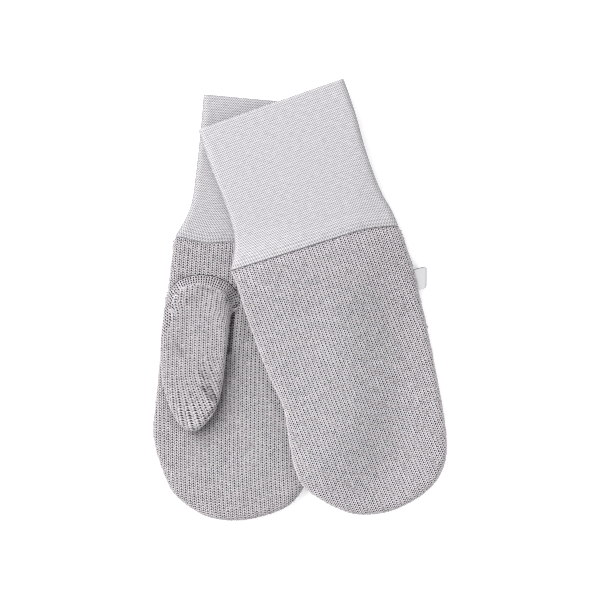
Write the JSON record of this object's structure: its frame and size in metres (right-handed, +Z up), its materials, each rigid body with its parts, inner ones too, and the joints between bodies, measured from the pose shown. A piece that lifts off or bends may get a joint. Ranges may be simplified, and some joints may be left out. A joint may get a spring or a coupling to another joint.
{
  "type": "pair of mittens",
  "caption": "Child's knitted mittens laid flat one over the other, each a rounded padded body with a thumb on its palm and a long smooth cuff folded double.",
  "frame": {"origin": "On the surface the pair lies on, under the middle of the pair's outline.", "axes": "+X to the right and +Y from the fingertips towards the cuffs as seen from above, +Z up from the surface."},
  "size_m": [0.1466, 0.22, 0.021],
  "materials": {
    "body_knit": "grey stockinette knit with open stitches, matt and slightly fuzzy",
    "cuff_knit": "pale grey fine-gauge knit, smooth and matt",
    "tape": "off-white woven tape, satin"
  },
  "bodies": {
    "root": {"right_cuff": "cuff_knit", "right_palm": "body_knit", "right_back": "body_knit", "right_thumb": "body_knit", "left_cuff": "cuff_knit", "left_palm": "body_knit", "left_back": "body_knit", "left_thumb": "body_knit", "left_tab": "tape"}
  },
  "joints": []
}
